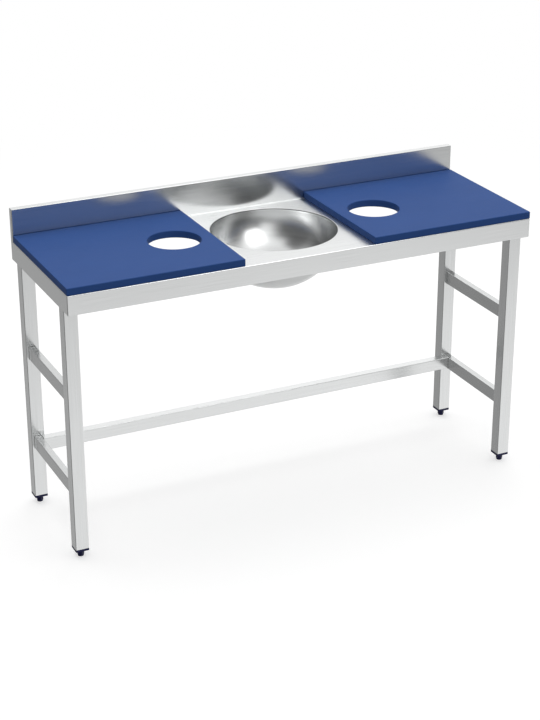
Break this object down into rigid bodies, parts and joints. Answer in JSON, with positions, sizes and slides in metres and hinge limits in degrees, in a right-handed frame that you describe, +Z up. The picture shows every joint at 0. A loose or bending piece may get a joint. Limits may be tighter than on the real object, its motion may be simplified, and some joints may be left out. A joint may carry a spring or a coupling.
{
  "type": "sink table",
  "caption": "Stainless steel preparation table with a round sink bowl, lift-off cutting boards that have scrap holes, a rear upstand and screwed levelling feet.",
  "frame": {"origin": "on the floor, under the middle of the worktop's footprint", "axes": "+X along the table to the user's right, +Y towards the wall behind, +Z up"},
  "size_m": [1.5, 0.5, 0.953],
  "materials": {
    "worktop_steel": "satin",
    "bowl_steel": "bright",
    "tube_steel": "satin",
    "fastener_steel": "zinc plated",
    "waste_chrome": "polished",
    "washer_rubber": "matt black",
    "nut_plastic": "white",
    "board_polyethylene": "fine matt blue",
    "foot_plastic": "matt dark blue"
  },
  "bodies": {
    "table": {"worktop": "worktop_steel", "bowl": "bowl_steel", "waste_flange": "waste_chrome", "waste_washer": "washer_rubber", "waste_nut": "nut_plastic", "rear_bar": "tube_steel", "channel_end_left": "worktop_steel", "channel_mid_left": "worktop_steel", "channel_inner_left": "worktop_steel", "rail_mid_left": "tube_steel", "rail_low_left": "tube_steel", "leg_front_left": "tube_steel", "leg_plate_front_left": "fastener_steel", "leg_insert_front_left": "foot_plastic", "leg_bolt_front_left_front": "fastener_steel", "leg_bolt_front_left_rear": "fastener_steel", "leg_rear_left": "tube_steel", "leg_plate_rear_left": "fastener_steel", "leg_insert_rear_left": "foot_plastic", "leg_bolt_rear_left_front": "fastener_steel", "leg_bolt_rear_left_rear": "fastener_steel", "channel_end_right": "worktop_steel", "channel_mid_right": "worktop_steel", "channel_inner_right": "worktop_steel", "rail_mid_right": "tube_steel", "rail_low_right": "tube_steel", "leg_front_right": "tube_steel", "leg_plate_front_right": "fastener_steel", "leg_insert_front_right": "foot_plastic", "leg_bolt_front_right_front": "fastener_steel", "leg_bolt_front_right_rear": "fastener_steel", "leg_rear_right": "tube_steel", "leg_plate_rear_right": "fastener_steel", "leg_insert_rear_right": "foot_plastic", "leg_bolt_rear_right_front": "fastener_steel", "leg_bolt_rear_right_rear": "fastener_steel"},
    "board_left": {"board_left": "board_polyethylene"},
    "board_right": {"board_right": "board_polyethylene"},
    "glide_front_left": {"foot_glide_front_left": "foot_plastic"},
    "foot_front_left": {"foot_hex_front_left": "foot_plastic", "foot_stud_front_left": "fastener_steel"},
    "glide_rear_left": {"foot_glide_rear_left": "foot_plastic"},
    "foot_rear_left": {"foot_hex_rear_left": "foot_plastic", "foot_stud_rear_left": "fastener_steel"},
    "glide_front_right": {"foot_glide_front_right": "foot_plastic"},
    "foot_front_right": {"foot_hex_front_right": "foot_plastic", "foot_stud_front_right": "fastener_steel"},
    "glide_rear_right": {"foot_glide_rear_right": "foot_plastic"},
    "foot_rear_right": {"foot_hex_rear_right": "foot_plastic", "foot_stud_rear_right": "fastener_steel"}
  },
  "joints": [
    {"name": "board_left_lift", "type": "slide", "parent": "table", "child": "board_left", "axis": [0, 0, 1], "range_m": [0, 0.15]},
    {"name": "board_right_lift", "type": "slide", "parent": "table", "child": "board_right", "axis": [0, 0, 1], "range_m": [0, 0.15]},
    {"name": "glide_front_left_travel", "type": "slide", "parent": "table", "child": "glide_front_left", "axis": [0, 0, -1], "range_m": [0, 0.014]},
    {"name": "foot_front_left_turn", "type": "hinge", "parent": "glide_front_left", "child": "foot_front_left", "pos_m": [-0.7277, -0.1885, 0], "axis": [0, 0, -1], "range_deg": [0, 2881]},
    {"name": "glide_rear_left_travel", "type": "slide", "parent": "table", "child": "glide_rear_left", "axis": [0, 0, -1], "range_m": [0, 0.014]},
    {"name": "foot_rear_left_turn", "type": "hinge", "parent": "glide_rear_left", "child": "foot_rear_left", "pos_m": [-0.7277, 0.1885, 0], "axis": [0, 0, -1], "range_deg": [0, 2881]},
    {"name": "glide_front_right_travel", "type": "slide", "parent": "table", "child": "glide_front_right", "axis": [0, 0, -1], "range_m": [0, 0.014]},
    {"name": "foot_front_right_turn", "type": "hinge", "parent": "glide_front_right", "child": "foot_front_right", "pos_m": [0.7277, -0.1885, 0], "axis": [0, 0, -1], "range_deg": [0, 2881]},
    {"name": "glide_rear_right_travel", "type": "slide", "parent": "table", "child": "glide_rear_right", "axis": [0, 0, -1], "range_m": [0, 0.014]},
    {"name": "foot_rear_right_turn", "type": "hinge", "parent": "glide_rear_right", "child": "foot_rear_right", "pos_m": [0.7277, 0.1885, 0], "axis": [0, 0, -1], "range_deg": [0, 2881]}
  ],
  "couplings": [
    {"joint": "foot_front_left_turn", "follows": "glide_front_left_travel", "rad_per_m": 3590.4},
    {"joint": "foot_rear_left_turn", "follows": "glide_rear_left_travel", "rad_per_m": 3590.4},
    {"joint": "foot_front_right_turn", "follows": "glide_front_right_travel", "rad_per_m": 3590.4},
    {"joint": "foot_rear_right_turn", "follows": "glide_rear_right_travel", "rad_per_m": 3590.4}
  ]
}
